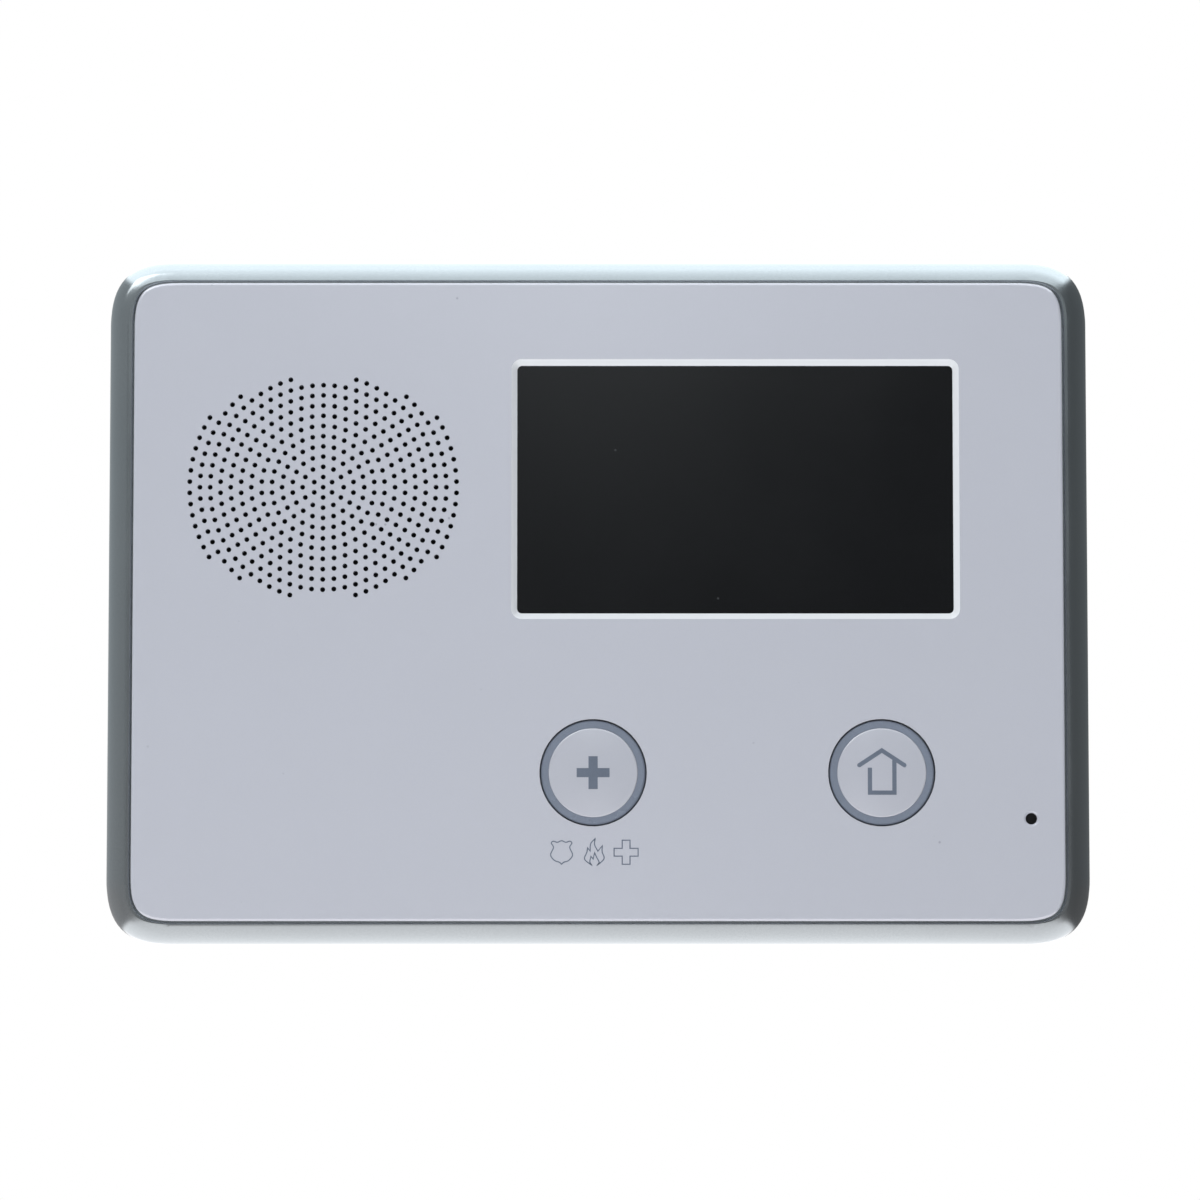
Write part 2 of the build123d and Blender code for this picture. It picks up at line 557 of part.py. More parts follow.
# ---- faceplate -----------------------------------------------------------------------------------------
with BuildPart() as faceplate:
    with BuildSketch(at_depth(FACE_BACK)):
        add(face_outline)
    extrude(amount=FACE_THICK)
    fillet(faceplate.faces().sort_by(Axis.Y)[0].edges(), EDGE_ROUND)
    # long bosses for the case screws
    with BuildSketch(at_depth(CASE_BOSS_BACK)):
        with Locations(*CASE_SCREWS):
            Circle(CASE_BOSS_R)
    extrude(amount=FACE_BACK - CASE_BOSS_BACK)
    # posts for the two boards and the speaker
    with BuildSketch(at_depth(MAIN_FRONT)):
        with Locations(MAIN_BOARD):
            with GridLocations(*MAIN_SCREW_SPAN, 2, 2):
                Circle(BOARD_POST_R)
    extrude(amount=FACE_BACK - MAIN_FRONT)
    with BuildSketch(at_depth(KEYPAD_FRONT)):
        with Locations(KEYPAD_BOARD):
            with GridLocations(*KEYPAD_SCREW_SPAN, 2, 2):
                Circle(BOARD_POST_R)
    extrude(amount=FACE_BACK - KEYPAD_FRONT)
    with BuildSketch(at_depth(FLANGE_BACK)):
        with Locations(SPEAKER):
            with Locations(*speaker_posts):
                Circle(BOARD_POST_R)
    extrude(amount=FACE_BACK - FLANGE_BACK)
    # rib round the display, guide collars for the buttons, and a cup for the microphone
    with BuildSketch(at_depth(LCD_FRAME_BACK)):
        with Locations(SCREEN):
            Rectangle(POCKET_SIZE[0] + 2 * POCKET_RIB, POCKET_SIZE[1] + 2 * POCKET_RIB)
            Rectangle(*POCKET_SIZE, mode=Mode.SUBTRACT)
    extrude(amount=FACE_BACK - LCD_FRAME_BACK)
    with BuildSketch(at_depth(COLLAR_BACK)):
        with Locations(EMERGENCY, HOME):
            Circle(COLLAR_OUT_R)
            Circle(COLLAR_IN_R, mode=Mode.SUBTRACT)
    extrude(amount=FACE_BACK - COLLAR_BACK)
    # window with its beveled edge, and the seat of the touch panel behind it
    with BuildSketch(at_depth(BEVEL_FOOT)):
        with Locations(SCREEN):
            RectangleRounded(*GLASS_VIEW)
    with BuildSketch(at_depth(FACE_DEPTH)):
        with Locations(SCREEN):
            RectangleRounded(*BEVEL_SIZE)
    loft(ruled=True, mode=Mode.SUBTRACT)
    with BuildSketch(at_depth(FACE_BACK)):
        with Locations(SCREEN):
            Rectangle(*POCKET_SIZE)
    extrude(amount=BEVEL_FOOT - FACE_BACK, mode=Mode.SUBTRACT)
    # button holes
    with BuildSketch(at_depth(FACE_BACK)):
        with Locations(EMERGENCY, HOME):
            Circle(BUTTON_HOLE_R)
    extrude(amount=FACE_THICK, mode=Mode.SUBTRACT)
    # microphone hole with its chamfer
    with BuildSketch(lathe_plane(MICROPHONE)):
        with BuildLine():
            Polyline(
                (0, FACE_BACK),
                (MIC_HOLE_R, FACE_BACK),
                (MIC_HOLE_R, FACE_DEPTH - MIC_CHAMFER),
                (MIC_HOLE_R + MIC_CHAMFER, FACE_DEPTH),
                (0, FACE_DEPTH),
                close=True,
            )
        make_face()
    revolve(axis=lathe_axis(MICROPHONE), mode=Mode.SUBTRACT)
    # screw holes from the back
    with BuildSketch(at_depth(CASE_BOSS_BACK)):
        with Locations(*CASE_SCREWS):
            Circle(CASE_SCREW_R + SCREW_CLEARANCE)
    extrude(amount=CASE_SCREW_FRONT - CASE_BOSS_BACK + 1, mode=Mode.SUBTRACT)
    with BuildSketch(at_depth(MAIN_FRONT)):
        with Locations(MAIN_BOARD):
            with GridLocations(*MAIN_SCREW_SPAN, 2, 2):
                Circle(SMALL_SCREW_R + SCREW_CLEARANCE)
        with Locations(KEYPAD_BOARD):
            with GridLocations(*KEYPAD_SCREW_SPAN, 2, 2):
                Circle(SMALL_SCREW_R + SCREW_CLEARANCE)
    extrude(amount=SMALL_SCREW_LONG + 3, mode=Mode.SUBTRACT)
    with BuildSketch(at_depth(FLANGE_BACK)):
        with Locations(SPEAKER):
            with Locations(*speaker_posts):
                Circle(SMALL_SCREW_R + SCREW_CLEARANCE)
    extrude(amount=FACE_BACK - FLANGE_BACK + 0.6, mode=Mode.SUBTRACT)
    # speaker grille
    with BuildSketch(at_depth(FACE_BACK)):
        with Locations(SPEAKER):
            with Locations(*grille_points()):
                Circle(GRILLE_HOLE_R)
    extrude(amount=FACE_THICK, mode=Mode.SUBTRACT)
write_part(faceplate, "faceplate")


# ---- speaker ---------------------------------------------------------------------------------------------
with BuildPart() as speaker_mesh:
    with BuildSketch(at_depth(FACE_BACK - CLOTH_THICK)):
        with Locations(SPEAKER):
            Ellipse(GRILLE_HALF_WIDTH + CLOTH_BORDER, GRILLE_HALF_HEIGHT + CLOTH_BORDER)
    extrude(amount=CLOTH_THICK)
write_part(speaker_mesh, "speaker_mesh")

with BuildPart() as speaker_gasket:
    with BuildSketch(at_depth(FLANGE_FRONT)):
        with Locations(SPEAKER):
            Circle(SPEAKER_R)
            Circle(SPEAKER_R - 3.4, mode=Mode.SUBTRACT)
    extrude(amount=FACE_BACK - CLOTH_THICK - FLANGE_FRONT)
write_part(speaker_gasket, "speaker_gasket")

with BuildPart() as speaker_frame:
    with BuildSketch(lathe_plane(SPEAKER)):
        with BuildLine():
            Polyline(
                (SPEAKER_R, FLANGE_BACK),
                (SPEAKER_R, FLANGE_FRONT),
                (SPEAKER_R - 2.4, FLANGE_FRONT),
                (SPEAKER_R - 2.4, FLANGE_BACK + 0.4),
                (SPEAKER_R - 4.4, FLANGE_BACK + 0.4),
                (MAGNET_R + 0.2, BASKET_BACK + FRAME_SHEET),
                (MAGNET_R * 0.55, BASKET_BACK + FRAME_SHEET),
                (MAGNET_R * 0.55, BASKET_BACK),
                (MAGNET_R + 0.8, BASKET_BACK),
                (SPEAKER_R - 3.2, FLANGE_BACK - 0.8),
                (SPEAKER_R - 2.2, FLANGE_BACK),
                close=True,
            )
        make_face()
    revolve(axis=lathe_axis(SPEAKER))
    # six windows in the basket
    with BuildSketch(at_depth(BASKET_BACK + 2)):
        with Locations(SPEAKER):
            with PolarLocations(SPEAKER_R - 8.5, 6, start_angle=30):
                Rectangle(*FRAME_WINDOW_SIZE)
    extrude(amount=6, mode=Mode.SUBTRACT)
write_part(speaker_frame, "speaker_frame")

with BuildPart() as speaker_magnet:
    with BuildSketch(at_depth(MAGNET_BACK)):
        with Locations(SPEAKER):
            Circle(MAGNET_R)
    extrude(amount=BASKET_BACK - MAGNET_BACK)
    chamfer(speaker_magnet.edges().filter_by(GeomType.CIRCLE), 0.6)
write_part(speaker_magnet, "speaker_magnet")

with BuildPart() as speaker_cone:
    with BuildSketch(lathe_plane(SPEAKER)):
        with BuildLine():
            Polyline(
                (25.5, 27.3),
                (23.4, 27.6),
                (21.4, 26.9),
                (7.0, 20.6),
                (7.0, 20.2),
                (21.4, 26.4),
                (23.4, 27.1),
                (25.5, 26.9),
                close=True,
            )
        make_face()
    revolve(axis=lathe_axis(SPEAKER))
write_part(speaker_cone, "speaker_cone")

with BuildPart() as speaker_dust_cap:
    with BuildSketch(lathe_plane(SPEAKER)):
        with Locations((0, DUST_CAP_TOP - DUST_CAP_R)):
            Circle(DUST_CAP_R)
            Circle(DUST_CAP_R - CONE_THICK, mode=Mode.SUBTRACT)
        with Locations((DUST_CAP_HALF / 2, DUST_CAP_TOP - DUST_CAP_RISE / 2)):
            Rectangle(DUST_CAP_HALF, DUST_CAP_RISE, mode=Mode.INTERSECT)
    revolve(axis=lathe_axis(SPEAKER))
write_part(speaker_dust_cap, "speaker_dust_cap")

with BuildPart() as speaker_screws:
    with BuildSketch(at_depth(FLANGE_BACK - SMALL_HEAD_HIGH)):
        with Locations(SPEAKER):
            with Locations(*speaker_posts):
                Circle(SPEAKER_HEAD_R)
    extrude(amount=SMALL_HEAD_HIGH)
    with BuildSketch(at_depth(FLANGE_BACK)):
        with Locations(SPEAKER):
            with Locations(*speaker_posts):
                Circle(SMALL_SCREW_R)
    extrude(amount=2.5)
write_part(speaker_screws, "speaker_screws")


# ---- display ---------------------------------------------------------------------------------------------
with BuildPart() as screen_gasket:
    with BuildSketch(at_depth(BEVEL_FOOT - GASKET_THICK)):
        with Locations(SCREEN):
            Rectangle(*TOUCH_SIZE)
            opening = [side + 2 * GASKET_SETBACK for side in GLASS_VIEW[:2]]
            Rectangle(*opening, mode=Mode.SUBTRACT)
    extrude(amount=GASKET_THICK)
write_part(screen_gasket, "screen_gasket")

with BuildPart() as touch_panel:
    with BuildSketch(at_depth(TOUCH_BACK)):
        with Locations(SCREEN):
            Rectangle(*TOUCH_SIZE)
    extrude(amount=TOUCH_THICK)
write_part(touch_panel, "touch_panel")

with BuildPart() as lcd_panel:
    with BuildSketch(at_depth(LCD_PANEL_BACK)):
        with Locations(SCREEN):
            Rectangle(*LCD_SIZE)
    extrude(amount=TOUCH_BACK - LCD_PANEL_BACK - DISPLAY_GAP)
write_part(lcd_panel, "lcd_panel")

with BuildPart() as lcd_backlight:
    with BuildSketch(at_depth(LCD_FRAME_BACK + LCD_FRAME_WALL)):
        with Locations(SCREEN):
            Rectangle(*LCD_SIZE)
    extrude(amount=LCD_PANEL_BACK - DISPLAY_GAP - LCD_FRAME_BACK - LCD_FRAME_WALL)
write_part(lcd_backlight, "lcd_backlight")

with BuildPart() as lcd_frame:
    with BuildSketch(at_depth(LCD_FRAME_BACK)):
        with Locations(SCREEN):
            Rectangle(*LCD_FRAME_SIZE)
    extrude(amount=TOUCH_BACK - LCD_FRAME_BACK - DISPLAY_GAP)
    with BuildSketch(at_depth(LCD_FRAME_BACK + LCD_FRAME_WALL)):
        with Locations(SCREEN):
            Rectangle(LCD_SIZE[0] + 0.1, LCD_SIZE[1] + 0.1)
    extrude(amount=TOUCH_BACK - LCD_FRAME_BACK, mode=Mode.SUBTRACT)
write_part(lcd_frame, "lcd_frame")

with BuildPart() as lcd_ribbon:
    with BuildSketch(side_plane(SCREEN[0] - RIBBON_WIDTH / 2)):
        with BuildLine():
            Line((2, RIBBON_DEPTH), (-10, RIBBON_DEPTH))
            ThreePointArc(
                (-10, RIBBON_DEPTH),
                (-10 - RIBBON_BEND, RIBBON_DEPTH - RIBBON_BEND),
                (-10, RIBBON_DEPTH - 2 * RIBBON_BEND),
            )
            Line((-10, RIBBON_DEPTH - 2 * RIBBON_BEND), (-7, RIBBON_DEPTH - 2 * RIBBON_BEND))
        trace(line_width=RIBBON_THICK)
    extrude(amount=RIBBON_WIDTH)
write_part(lcd_ribbon, "lcd_ribbon")

with BuildPart() as display_standoffs:
    with BuildSketch(at_depth(MAIN_FRONT)):
        with Locations(SCREEN):
            with GridLocations(*STANDOFF_SPAN, 2, 2):
                RegularPolygon(STANDOFF_R, 6)
    extrude(amount=LCD_FRAME_BACK - MAIN_FRONT)
write_part(display_standoffs, "display_standoffs")


# ---- main board and what it carries -------------------------------------------------------------------------
with BuildPart() as main_board:
    with BuildSketch(at_depth(MAIN_BACK)):
        with Locations(MAIN_BOARD):
            RectangleRounded(*MAIN_BOARD_SIZE, 2)
            with GridLocations(*MAIN_SCREW_SPAN, 2, 2):
                Circle(SMALL_SCREW_R + BOARD_HOLE_CLEARANCE, mode=Mode.SUBTRACT)
    extrude(amount=MAIN_FRONT - MAIN_BACK)
write_part(main_board, "main_board")

with BuildPart() as board_screws:
    with BuildSketch(at_depth(MAIN_BACK - SMALL_HEAD_HIGH)):
        with Locations(MAIN_BOARD):
            with GridLocations(*MAIN_SCREW_SPAN, 2, 2):
                Circle(SMALL_HEAD_R)
    extrude(amount=SMALL_HEAD_HIGH)
    with BuildSketch(at_depth(MAIN_BACK)):
        with Locations(MAIN_BOARD):
            with GridLocations(*MAIN_SCREW_SPAN, 2, 2):
                Circle(SMALL_SCREW_R)
    extrude(amount=SMALL_SCREW_LONG)
write_part(board_screws, "board_screws")

with BuildPart() as board_chips:
    with BuildSketch(at_depth(MAIN_BACK - CHIP_THICK)):
        for middle, size in CHIPS:
            with Locations(middle):
                Rectangle(*size)
    extrude(amount=CHIP_THICK)
write_part(board_chips, "board_chips")

with BuildPart() as board_capacitors:
    with BuildSketch(at_depth(MAIN_BACK - CAPACITOR_LONG)):
        with Locations(*CAPACITORS):
            Circle(CAPACITOR_R)
    extrude(amount=CAPACITOR_LONG)
    fillet(board_capacitors.faces().sort_by(Axis.Y)[-1:].edges(), 0.4)
write_part(board_capacitors, "board_capacitors")

with BuildPart() as terminal_block:
    terminal_centre = (TERMINAL_WINDOW[0], TERMINAL_WINDOW[1] + 6)
    with BuildSketch(at_depth(TERMINAL_BACK)):
        with Locations(terminal_centre):
            Rectangle(*TERMINAL_BLOCK_SIZE)
    extrude(amount=MAIN_BACK - TERMINAL_BACK)
    with BuildSketch(at_depth(TERMINAL_BACK)):
        with Locations(terminal_centre):
            with GridLocations(TERMINAL_PITCH, 0, TERMINAL_POLES, 1):
                Circle(TERMINAL_WELL_R)
    extrude(amount=TERMINAL_WELL_DEEP, mode=Mode.SUBTRACT)
    # wire entries in the lower side
    with BuildSketch(Plane.XY.offset(terminal_centre[1] - TERMINAL_BLOCK_SIZE[1] / 2)):
        with Locations((terminal_centre[0], -MAIN_BACK + 3)):
            with GridLocations(TERMINAL_PITCH, 0, TERMINAL_POLES, 1):
                Rectangle(TERMINAL_MOUTH[0], TERMINAL_MOUTH[0])
    extrude(amount=TERMINAL_MOUTH[1], mode=Mode.SUBTRACT)
write_part(terminal_block, "terminal_block")

with BuildPart() as terminal_screws:
    with BuildSketch(at_depth(TERMINAL_BACK + 1)):
        with Locations(terminal_centre):
            with GridLocations(TERMINAL_PITCH, 0, TERMINAL_POLES, 1):
                Circle(TERMINAL_WELL_R - SCREW_CLEARANCE)
    extrude(amount=TERMINAL_WELL_DEEP - 1.2)
    with BuildSketch(at_depth(TERMINAL_BACK + 1)):
        with Locations(terminal_centre):
            with GridLocations(TERMINAL_PITCH, 0, TERMINAL_POLES, 1):
                Rectangle(3.8, 0.6)
    extrude(amount=0.7, mode=Mode.SUBTRACT)
write_part(terminal_screws, "terminal_screws")

with BuildPart() as radio_board:
    with BuildSketch(at_depth(RADIO_BACK)):
        with Locations(RADIO):
            Rectangle(*RADIO_SIZE)
    extrude(amount=RADIO_FRONT - RADIO_BACK)
write_part(radio_board, "radio_board")

with BuildPart() as radio_shield:
    with BuildSketch(at_depth(RADIO_BACK - SHIELD_HIGH)):
        with Locations(RADIO):
            RectangleRounded(RADIO_SIZE[0] - 6, RADIO_SIZE[1] - 8, 0.8)
    extrude(amount=SHIELD_HIGH)
write_part(radio_shield, "radio_shield")

with BuildPart() as radio_header:
    with BuildSketch(at_depth(RADIO_FRONT)):
        with Locations(RADIO):
            with GridLocations(0, RADIO_SIZE[1] - 4, 1, 2):
                Rectangle(RADIO_SIZE[0] - 4, 2.5)
    extrude(amount=MAIN_BACK - RADIO_FRONT)
write_part(radio_header, "radio_header")

with BuildPart() as radio_antenna:
    with BuildSketch(at_depth(BACK_WALL_IN)):
        with Locations(ANTENNA):
            Rectangle(*ANTENNA_SIZE[:2])
    extrude(amount=ANTENNA_SIZE[2])
write_part(radio_antenna, "radio_antenna")

with BuildPart() as antenna_lead:
    with BuildLine(side_plane(RADIO[0] - 17.6)) as lead_route:
        FilletPolyline(
            (RADIO[1] + 13, RADIO_BACK - 0.6),
            (RADIO[1] + 22, RADIO_BACK - 0.6),
            (RADIO[1] + 22, BACK_WALL_IN + 1.1),
            (RADIO[1] + 17, BACK_WALL_IN + 1.1),
            radius=2.2,
        )
    with BuildSketch(Plane(origin=lead_route.line @ 0, z_dir=lead_route.line % 0)):
        Circle(ANTENNA_LEAD_R)
    sweep(path=lead_route.line)
write_part(antenna_lead, "antenna_lead")

with BuildPart() as tamper_switch:
    with BuildSketch(at_depth(TAMPER_BACK)):
        with Locations(TAMPER):
            RectangleRounded(*TAMPER_BODY)
            Circle(TAMPER_PLUNGER_R + 0.1, mode=Mode.SUBTRACT)
    extrude(amount=TAMPER_BORE_DEEP)
    with BuildSketch(at_depth(TAMPER_BACK + TAMPER_BORE_DEEP)):
        with Locations(TAMPER):
            RectangleRounded(*TAMPER_BODY)
    extrude(amount=MAIN_BACK - TAMPER_BACK - TAMPER_BORE_DEEP)
write_part(tamper_switch, "tamper_switch")

with BuildPart() as tamper_plunger:
    with BuildSketch(at_depth(TAMPER_TIP)):
        with Locations(TAMPER):
            Circle(TAMPER_PLUNGER_R)
    extrude(amount=TAMPER_BACK + TAMPER_PLUNGER_GRIP - TAMPER_TIP)
    fillet(tamper_plunger.faces().sort_by(Axis.Y)[-1].edges(), 0.7)
write_part(tamper_plunger, "tamper_plunger")


# ---- keypad board ----------------------------------------------------------------------------------------
with BuildPart() as keypad_board:
    with BuildSketch(at_depth(KEYPAD_BACK)):
        with Locations(KEYPAD_BOARD):
            RectangleRounded(*KEYPAD_BOARD_SIZE, 1.5)
            with GridLocations(*KEYPAD_SCREW_SPAN, 2, 2):
                Circle(SMALL_SCREW_R + BOARD_HOLE_CLEARANCE, mode=Mode.SUBTRACT)
    extrude(amount=KEYPAD_FRONT - KEYPAD_BACK)
write_part(keypad_board, "keypad_board")

with BuildPart() as keypad_screws:
    with BuildSketch(at_depth(KEYPAD_BACK - SMALL_HEAD_HIGH)):
        with Locations(KEYPAD_BOARD):
            with GridLocations(*KEYPAD_SCREW_SPAN, 2, 2):
                Circle(SMALL_HEAD_R)
    extrude(amount=SMALL_HEAD_HIGH)
    with BuildSketch(at_depth(KEYPAD_BACK)):
        with Locations(KEYPAD_BOARD):
            with GridLocations(*KEYPAD_SCREW_SPAN, 2, 2):
                Circle(SMALL_SCREW_R)
    extrude(amount=SMALL_SCREW_LONG)
write_part(keypad_screws, "keypad_screws")

with BuildPart() as ring_leds:
    with BuildSketch(at_depth(KEYPAD_FRONT)):
        for centre in (EMERGENCY, HOME):
            with Locations(centre):
                with PolarLocations(LED_RADIUS, 4, start_angle=45):
                    Rectangle(*LED_SIZE[:2])
    extrude(amount=LED_SIZE[2])
write_part(ring_leds, "ring_leds")


# ---- push buttons ------------------------------------------------------------------------------------------
def plus_symbol():
    """Upright plus made of two equal bars."""
    with BuildSketch() as symbol:
        Rectangle(PLUS_SPAN, PLUS_ARM)
        Rectangle(PLUS_ARM, PLUS_SPAN)
    return symbol.sketch


def house_symbol():
    """Roof line with a three-sided wall line below it, open at the upper left."""
    with BuildSketch() as symbol:
        with BuildLine():
            Polyline((-4.5, 1.5), (0, 4.45), (4.5, 1.5))
        trace(line_width=HOUSE_LINE)
        with BuildLine():
            Polyline((-2.4, 1.0), (-2.4, -4.0), (2.5, -4.0), (2.5, 2.5))
        trace(line_width=HOUSE_LINE)
        with Locations((-4.5, 1.5), (4.5, 1.5)):
            Circle(HOUSE_LINE / 2)
    return symbol.sketch


def button_pieces(centre, symbol):
    """Cap, light ring, inlaid symbol, switch plunger and switch body of one push button."""
    with BuildPart() as blank:
        with BuildSketch(lathe_plane(centre)):
            with BuildLine():
                crown_edge = (CAP_R - CAP_EDGE_ROUND, CAP_EDGE_DEPTH)
                wall_top = (CAP_R, CAP_EDGE_DEPTH - CAP_EDGE_ROUND)
                Line((0, CAP_BACK), (0, CAP_EDGE_DEPTH + CAP_CROWN))
                ThreePointArc(
                    (0, CAP_EDGE_DEPTH + CAP_CROWN),
                    (CAP_R / 2, CAP_EDGE_DEPTH + CAP_CROWN * 0.75),
                    crown_edge,
                )
                RadiusArc(crown_edge, wall_top, CAP_EDGE_ROUND)
                Line(wall_top, (CAP_R, CAP_BACK))
                Line((CAP_R, CAP_BACK), (0, CAP_BACK))
            make_face()
        revolve(axis=lathe_axis(centre))

    with BuildPart() as icon:
        with BuildSketch(at_depth(CAP_EDGE_DEPTH - INLAY_DEPTH)):
            with Locations(centre):
                add(symbol)
        extrude(amount=2)
        add(blank.part, mode=Mode.INTERSECT)

    with BuildPart() as cap:
        add(blank.part)
        with BuildSketch(at_depth(CAP_BACK)):
            with Locations(centre):
                Circle(CAP_R - CAP_WALL)
        extrude(amount=CAP_HOLLOW, mode=Mode.SUBTRACT)
        with BuildSketch(at_depth(STEM_BACK)):
            with Locations(centre):
                Circle(STEM_R)
        extrude(amount=CAP_BACK + 2 - STEM_BACK)
        add(icon.part, mode=Mode.SUBTRACT)

    with BuildPart() as ring:
        with BuildSketch(lathe_plane(centre)):
            with BuildLine():
                Polyline(
                    (CAP_R, CAP_BACK),
                    (FLANGE_R, CAP_BACK),
                    (FLANGE_R, RING_FLANGE_FRONT),
                    (RING_R, RING_FLANGE_FRONT),
                    (RING_R, RING_FRONT - 0.3),
                    (RING_R - 0.3, RING_FRONT),
                    (CAP_R, RING_FRONT),
                    close=True,
                )
            make_face()
        revolve(axis=lathe_axis(centre))

    with BuildPart() as plunger:
        with BuildSketch(at_depth(PLUNGER_BACK)):
            with Locations(centre):
                Circle(PLUNGER_R)
        extrude(amount=STEM_BACK - PLUNGER_BACK)

    with BuildPart() as switch:
        with BuildSketch(at_depth(KEYPAD_FRONT)):
            with Locations(centre):
                RectangleRounded(SWITCH_SIZE, SWITCH_SIZE, 0.4)
        extrude(amount=SWITCH_FRONT - KEYPAD_FRONT)
        with BuildSketch(at_depth(SWITCH_BORE_BACK)):
            with Locations(centre):
                Circle(SWITCH_BORE_R)
        extrude(amount=SWITCH_FRONT - SWITCH_BORE_BACK, mode=Mode.SUBTRACT)

    return {"cap": cap, "light_ring": ring, "icon": icon, "plunger": plunger, "switch": switch}


for button, centre, symbol in (("emergency", EMERGENCY, plus_symbol()), ("home", HOME, house_symbol())):
    for kind, piece in button_pieces(centre, symbol).items():
        write_part(piece, f"{button}_{kind}")


# ---- microphone --------------------------------------------------------------------------------------------
with BuildPart() as microphone:
    with BuildSketch(at_depth(MIC_BACK)):
        with Locations(MICROPHONE):
            Circle(MIC_R)
    extrude(amount=MIC_THICK)
write_part(microphone, "microphone")

with BuildPart() as microphone_boot:
    with BuildSketch(at_depth(MIC_BOOT_BACK)):
        with Locations(MICROPHONE):
            Circle(MIC_BOOT_R)
            Circle(MIC_R, mode=Mode.SUBTRACT)
    extrude(amount=MIC_BACK + MIC_THICK - MIC_BOOT_BACK)
    with BuildSketch(at_depth(MIC_BACK + MIC_THICK)):
        with Locations(MICROPHONE):
            Circle(MIC_BOOT_R)
            Circle(MIC_HOLE_R, mode=Mode.SUBTRACT)
    extrude(amount=FACE_BACK - MIC_BACK - MIC_THICK)
write_part(microphone_boot, "microphone_boot")


# ---- battery pack --------------------------------------------------------------------------------------------
cell_places = [((number - (CELL_COUNT - 1) / 2) * CELL_PITCH, 0) for number in range(CELL_COUNT)]
cell_plane = Plane.XY.offset(BATTERY[1] - CELL_LONG / 2)

with BuildPart() as battery_cells:
    with BuildSketch(cell_plane):
        with Locations((BATTERY[0], -BATTERY_DEPTH)):
            with Locations(*cell_places):
                Circle(CELL_R)
    extrude(amount=CELL_LONG)
write_part(battery_cells, "battery_cells")

with BuildPart() as battery_wrap:
    wrap_span = (CELL_COUNT - 1) * CELL_PITCH
    with BuildSketch(cell_plane.offset(-WRAP_END)):
        with Locations((BATTERY[0], -BATTERY_DEPTH)):
            SlotCenterToCenter(wrap_span, 2 * (CELL_R + WRAP_GAP + WRAP_THICK))
            SlotCenterToCenter(wrap_span, 2 * (CELL_R + WRAP_GAP), mode=Mode.SUBTRACT)
    extrude(amount=CELL_LONG + 2 * WRAP_END)
write_part(battery_wrap, "battery_wrap")

with BuildPart() as battery_foam:
    with BuildSketch(at_depth(BACK_WALL_IN)):
        with Locations(BATTERY):
            Rectangle(46, 36)
    extrude(amount=BATTERY_DEPTH - CELL_R - 0.4 - BACK_WALL_IN)
write_part(battery_foam, "battery_foam")

with BuildPart() as battery_strap:
    strap_in = BAY_SIZE[0]
    strap_out = strap_in + 2 * STRAP_THICK
    strap_front = BATTERY_DEPTH + CELL_R + 1.9
    strap_high = strap_front - BACK_WALL_IN
    with BuildSketch(Plane.XY.offset(BATTERY[1] - STRAP_WIDTH / 2)):
        with Locations((BATTERY[0], -BACK_WALL_IN - strap_high / 2)):
            Rectangle(strap_out, strap_high)
        with Locations((BATTERY[0], -BACK_WALL_IN - (strap_high - STRAP_THICK) / 2)):
            Rectangle(strap_in, strap_high - STRAP_THICK, mode=Mode.SUBTRACT)
    extrude(amount=STRAP_WIDTH)
write_part(battery_strap, "battery_strap")

with BuildPart() as battery_leads:
    lead_start = BATTERY[1] + CELL_LONG / 2 + 0.5
    for number, cell in enumerate(cell_places[2:]):
        rise = 4.5 - 2.0 * number
        with BuildLine(at_depth(BATTERY_DEPTH)) as lead:
            FilletPolyline(
                (BATTERY[0] + cell[0], lead_start),
                (BATTERY[0] + cell[0], lead_start + rise),
                (CONNECTOR_X + 1.5 - 3 * number, lead_start + rise),
                (CONNECTOR_X + 1.5 - 3 * number, lead_start - 3),
                radius=1.9,
            )
        with BuildSketch(Plane(origin=lead.line @ 0, z_dir=lead.line % 0)):
            Circle(LEAD_R)
        sweep(path=lead.line)
write_part(battery_leads, "battery_leads")

with BuildPart() as battery_connector:
    with BuildSketch(at_depth(BATTERY_DEPTH - 2.3)):
        with Locations((CONNECTOR_X, lead_start - 6)):
            Rectangle(*CONNECTOR_SIZE)
    extrude(amount=MAIN_BACK - BATTERY_DEPTH + 2.3)
write_part(battery_connector, "battery_connector")


# ---- case screws -------------------------------------------------------------------------------------------
with BuildPart() as case_screws:
    with BuildSketch(at_depth(CASE_HEAD_BACK)):
        with Locations(*CASE_SCREWS):
            Circle(CASE_HEAD_R)
    extrude(amount=CASE_HEAD_SEAT - CASE_HEAD_BACK)
    with BuildSketch(at_depth(CASE_HEAD_SEAT)):
        with Locations(*CASE_SCREWS):
            Circle(CASE_SCREW_R)
    extrude(amount=CASE_SCREW_FRONT - CASE_HEAD_SEAT)
    with BuildSketch(at_depth(CASE_HEAD_BACK)):
        with Locations(*CASE_SCREWS):
            Rectangle(*CROSS_SLOT)
            Rectangle(CROSS_SLOT[1], CROSS_SLOT[0])
    extrude(amount=1.2, mode=Mode.SUBTRACT)
write_part(case_screws, "case_screws")
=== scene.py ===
"""Looks for the wall-mounted alarm keypad panel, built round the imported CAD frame. Metres."""
import json
import math

